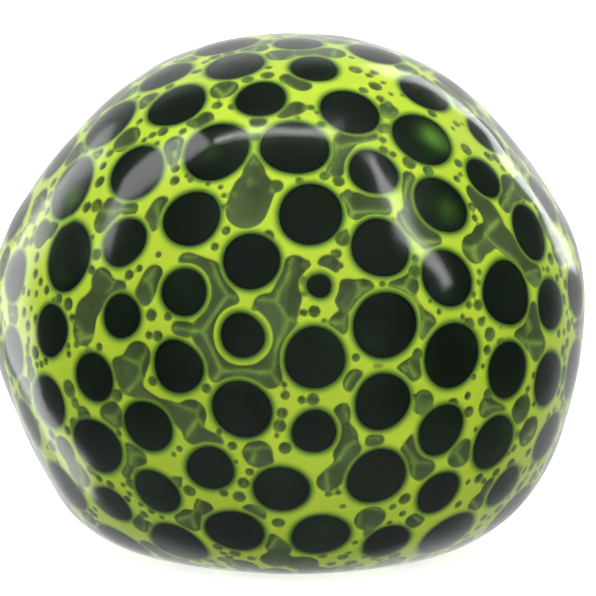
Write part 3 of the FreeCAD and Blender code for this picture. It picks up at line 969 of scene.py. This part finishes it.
liquid = add_object("liquid_sheet", make_liquid(), "shell")
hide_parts("liquid")
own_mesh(liquid)


# ---- skin, plug and seal

SWELL = 0.42 * MM                     # of the outer face's random swelling
BULGE, BULGE_WIDTH = 0.11 * MM, 0.85  # of the outer face over a bead; width as a share of its flat


def skin_mesh(count=240, steps=190):
    """Closed shell: outer face, plug seat, bore, neck and inner face, in rings about the port's axis.

    Each ring has count vertices, and the outer face has steps rings.
    """
    turn = np.linspace(0, 2 * math.pi, count, endpoint=False)

    def face_ring(angle, inset, swell):
        ways = np.column_stack([np.sin(angle) * np.cos(turn), np.full(count, np.cos(angle)),
                                np.sin(angle) * np.sin(turn)])
        points, normal = on_outline(ways, inset)
        rise = swell * lumps(ways, 5)
        if swell:
            for azimuth, elevation, wide, high in LUMPS:
                off = np.linalg.norm(ways - way_to(azimuth, elevation), axis=1) / math.radians(wide)
                rise += high * MM * np.exp(-off ** 2)
            for flat, radius in zip(flat_way, flat_radius):
                off = np.linalg.norm(ways - flat, axis=1) * BALL / radius
                rise += BULGE * np.exp(-(off / BULGE_WIDTH) ** 2)
            level_foot = np.clip((ways[:, 2] + 0.9) * 3, 0, 1)
            even_port = np.clip((0.97 - ways[:, 1]) * 8, 0, 1)
            rise *= level_foot * even_port
        return points + normal * rise[:, None]

    angles = np.linspace(math.pi * (1 - 0.5 / steps), math.asin(SEAT / BALL), steps)
    rings = [face_ring(a, 0.0, SWELL) for a in angles]
    rings += [ring_points(radius, BALL - SEAT_DEPTH, count) for radius in (SEAT, BORE)]
    outer_count = len(rings)
    rings += [ring_points(radius, BALL - WALL - NECK_LENGTH, count) for radius in (BORE, NECK)]
    root = math.asin(NECK / (BALL - WALL))
    rings += [face_ring(a, WALL, 0.0) for a in angles[::-2] if a > root]
    poles = np.array([rings[0].mean(axis=0), [0, -BALL + WALL, CENTRE]])
    points = np.concatenate(rings + [poles])
    faces = stitch(0, len(rings), count, poles=(len(points) - 2, len(points) - 1))
    mesh = mesh_from("skin_shell", points, faces)
    mesh.materials.append(SKIN_LOOK)
    mesh.materials.append(WET_LOOK)
    first_inner = (outer_count - 1) * count
    inner = [0] * len(faces)
    for k in range(len(faces)):
        if first_inner <= k < (len(rings) - 1) * count or k >= len(faces) - count:
            inner[k] = 1
    mesh.polygons.foreach_set("material_index", inner)
    face_outward(mesh)
    return mesh


skin = add_object("skin_shell", skin_mesh(), "shell")
skin.visible_shadow = False
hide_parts("skin")
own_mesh(skin)


def turned(name, profile, body, look, closed):
    """A piece turned about the port's axis from pairs of radius and depth below the pole, in mm.

    A closed profile makes a ring; an open one is capped at both ends.
    """
    points = np.concatenate([ring_points(r * MM, BALL - d * MM, TURNS) for r, d in profile])
    if closed:
        faces = stitch(0, len(profile), TURNS, closed=True)
    else:
        ends = [[0, BALL - d * MM, CENTRE] for _, d in (profile[0], profile[-1])]
        points = np.concatenate([points, ends])
        faces = stitch(0, len(profile), TURNS, poles=(len(points) - 2, len(points) - 1))
    mesh = mesh_from(name, points, faces)
    face_outward(mesh)
    mesh.materials.append(look)
    return add_object(name, mesh, body)


PLUG_PROFILE = [
    (0.6, 0.12), (1.2, 0.1), (2.4, 0.08), (3.1, 0.16), (3.42, 0.3), (3.5, 0.5), (3.45, 0.85),     # head
    (3.3, 0.9), (1.7, 0.9), (1.5, 1.1), (1.5, 3.0), (1.5, 5.1),                                   # shaft
    (2.3, 5.12), (2.4, 5.3), (2.2, 5.8), (1.6, 6.2), (0.6, 6.3),                                  # barb
]
SEAL_PROFILE = [(1.62, 0.92), (3.3, 0.92), (3.5, 0.96), (3.55, 1.06), (3.48, 1.18), (1.62, 1.18)]

plug = turned("plug_with_barb", PLUG_PROFILE, "port", PLUG_LOOK, closed=False)
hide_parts("fill_plug")
seal = turned("seal_bead", SEAL_PROFILE, "port", SEAL_LOOK, closed=True)
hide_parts("plug_seal")
for part in (plug, seal):
    squash_with(part)


# ---- floor, light and camera

VIEW_UP = math.radians(10)            # the photo looks down by this
TO_CAMERA = Vector((0, -math.cos(VIEW_UP), math.sin(VIEW_UP)))
UP = Vector((0, math.sin(VIEW_UP), math.cos(VIEW_UP)))
RIGHT = Vector((1, 0, 0))
AIM = Vector(MIDDLE)                  # what the lights point at
LAMP_REACH = 0.6                      # distance of each light's ends from it


def from_camera(x, y, z):
    """A direction given as right, up and towards the camera."""
    return RIGHT * x + UP * y + TO_CAMERA * z


def strip(name, start, end, width, radiance, glossy=True):
    """A long soft light between two directions seen from the ball."""
    a = AIM + from_camera(*start).normalized() * LAMP_REACH
    b = AIM + from_camera(*end).normalized() * LAMP_REACH
    middle = (a + b) / 2
    along = b - a
    light = bpy.data.lights.new(name, "AREA")
    light.shape = "RECTANGLE"
    light.size = along.length
    light.size_y = width
    light.energy = radiance * math.pi * along.length * width
    lamp = bpy.data.objects.new(name, light)
    bpy.context.scene.collection.objects.link(lamp)
    back = (middle - AIM).normalized()
    x = (along - back * along.dot(back)).normalized()
    y = back.cross(x)
    lamp.matrix_world = Matrix.Translation(middle) @ Matrix((x, y, back)).transposed().to_4x4()
    lamp.visible_glossy = glossy
    lamp.visible_camera = False


# Name, start and end as right, up and towards the camera, width in metres, radiance.
strip("top_strip", (-0.37, 0.94, 0.16), (0.26, 0.96, 0.16), 0.03, 13.0)
strip("right_strip", (0.42, 0.88, 0.20), (0.67, 0.56, 0.48), 0.055, 8.0)
strip("right_strip_low", (0.67, 0.56, 0.48), (0.87, 0.19, 0.46), 0.055, 8.0)
strip("left_box", (-0.42, 0.90, 0.06), (-0.76, 0.64, 0.10), 0.15, 4.3)
strip("left_box_low", (-0.76, 0.64, 0.10), (-0.95, 0.26, 0.13), 0.10, 5.0)
strip("left_rim", (-0.72, 0.72, -0.60), (-0.72, -0.62, -0.60), 0.16, 2.6)
strip("right_rim", (0.24, 0.84, -0.56), (0.64, 0.12, -0.74), 0.12, 3.4)
strip("key_fill", (-0.7, 0.75, 0.55), (0.7, 0.75, 0.55), 0.7, 1.45, glossy=False)
strip("front_fill", (-0.8, 0.1, 0.8), (0.8, 0.1, 0.8), 0.6, 1.0, glossy=False)
strip("low_fill", (-0.7, -0.75, 0.5), (0.7, -0.75, 0.5), 0.5, 0.85, glossy=False)

# The camera sees plain white. The ball reflects surroundings that are bright beyond it, dark behind
# the camera and dim grey below.
world = bpy.data.worlds.new("studio")
bpy.context.scene.world = world
world.use_nodes = True
tree = world.node_tree
tree.nodes.clear()
coords = tree.nodes.new("ShaderNodeTexCoord")
facing = tree.nodes.new("ShaderNodeVectorMath")
facing.operation = "DOT_PRODUCT"
tree.links.new(coords.outputs["Generated"], facing.inputs[0])
facing.inputs[1].default_value = -TO_CAMERA
beyond = ramp(tree, facing.outputs["Value"], [
    (0.0, grey(0.05)), (0.48, grey(0.10)), (0.72, (0.62, 0.64, 0.63, 1.0)), (1.0, grey(1))])
split = tree.nodes.new("ShaderNodeSeparateXYZ")
tree.links.new(coords.outputs["Generated"], split.inputs[0])
below = ramp(tree, math_node(tree, "MULTIPLY", split.outputs["Z"], -1.0), [
    (0.1, grey(0)), (0.7, (0.26, 0.27, 0.26, 1.0))])
around = mix_colour(tree, 1.0, beyond, below, "LIGHTEN")
seen = tree.nodes.new("ShaderNodeLightPath")
colour = mix_colour(tree, seen.outputs["Is Camera Ray"], around, grey(1))
background = tree.nodes.new("ShaderNodeBackground")
tree.links.new(colour, background.inputs["Color"])
out = tree.nodes.new("ShaderNodeOutputWorld")
tree.links.new(background.outputs[0], out.inputs["Surface"])

FLOOR = 3.0                           # half its width
corners = [(-FLOOR, -FLOOR, 0), (FLOOR, -FLOOR, 0), (FLOOR, FLOOR, 0), (-FLOOR, FLOOR, 0)]
floor_mesh = mesh_from("floor", corners, [(0, 1, 2, 3)], smooth=False)
floor_look, floor_tree, floor_shader = material("pale_floor")
paper = ramp(floor_tree, noise(floor_tree, 30.0), [(0.3, grey(0.86)), (0.7, grey(0.9))])
floor_tree.links.new(paper, floor_shader.inputs["Base Color"])
floor_shader.inputs["Roughness"].default_value = 0.9
floor_shader.inputs["Specular IOR Level"].default_value = 0.0
floor_shader.inputs["Emission Color"].default_value = (1, 1, 1, 1)
floor_shader.inputs["Emission Strength"].default_value = 0.72
floor_mesh.materials.append(floor_look)
floor = bpy.data.objects.new("floor", floor_mesh)
bpy.context.scene.collection.objects.link(floor)
floor.visible_shadow = False
floor.visible_diffuse = False
floor.visible_glossy = False
floor.visible_transmission = False

DISTANCE = 2.0                        # of the camera; its lens frames the ball as the photo does
LENS, SENSOR = 1009, 36               # in mm
TARGET = Vector((0.00084, 0, 0.0305))  # the middle of the frame

camera_data = bpy.data.cameras.new("camera")
camera_data.lens = LENS
camera_data.sensor_width = SENSOR
camera = bpy.data.objects.new("camera", camera_data)
bpy.context.scene.collection.objects.link(camera)
camera.location = TARGET + TO_CAMERA * DISTANCE
camera.rotation_mode = "QUATERNION"
camera.rotation_quaternion = (-TO_CAMERA).to_track_quat("-Z", "Y")
camera_data.clip_end = 50
camera_data.clip_start = 0.1
bpy.context.scene.camera = camera
bpy.context.scene.view_settings.view_transform = "Standard"
